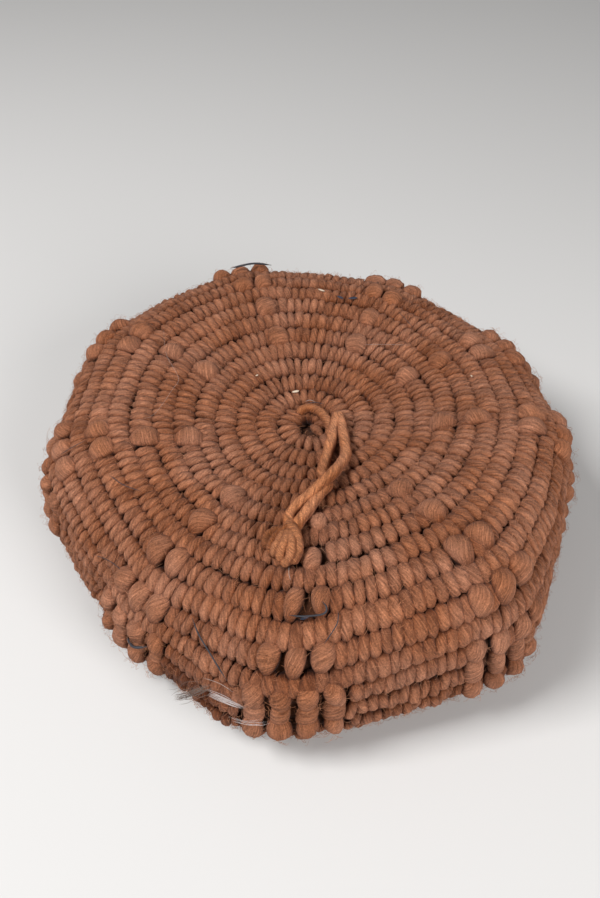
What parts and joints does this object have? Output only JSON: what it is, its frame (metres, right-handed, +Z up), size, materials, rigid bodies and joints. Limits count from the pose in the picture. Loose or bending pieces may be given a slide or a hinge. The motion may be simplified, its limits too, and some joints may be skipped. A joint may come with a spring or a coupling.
{
  "type": "woven fibre headdress",
  "caption": "Low round cap of thick brown yarn worked as a spiral coil, with wedges of yarn bobbles down a soft cornered shoulder, a sunken top and a short knotted tail.",
  "frame": {"origin": "middle of the cap's box in plan, on the surface that the rim rests on", "axes": "+Z up out of the top of the cap, -Y toward the side that the picture shows nearest, +X to the picture's right"},
  "size_m": [0.2365, 0.247, 0.0791],
  "materials": {
    "brown_yarn": "matt thick wool-like yarn, orange-brown with greyer lights, fuzzy, dark between the stitches",
    "tail_yarn": "matt two-strand twisted yarn, a little more orange than the cap"
  },
  "bodies": {
    "root": {"crown": "brown_yarn", "tail_cord": "tail_yarn", "tail_knot": "tail_yarn"}
  },
  "joints": []
}
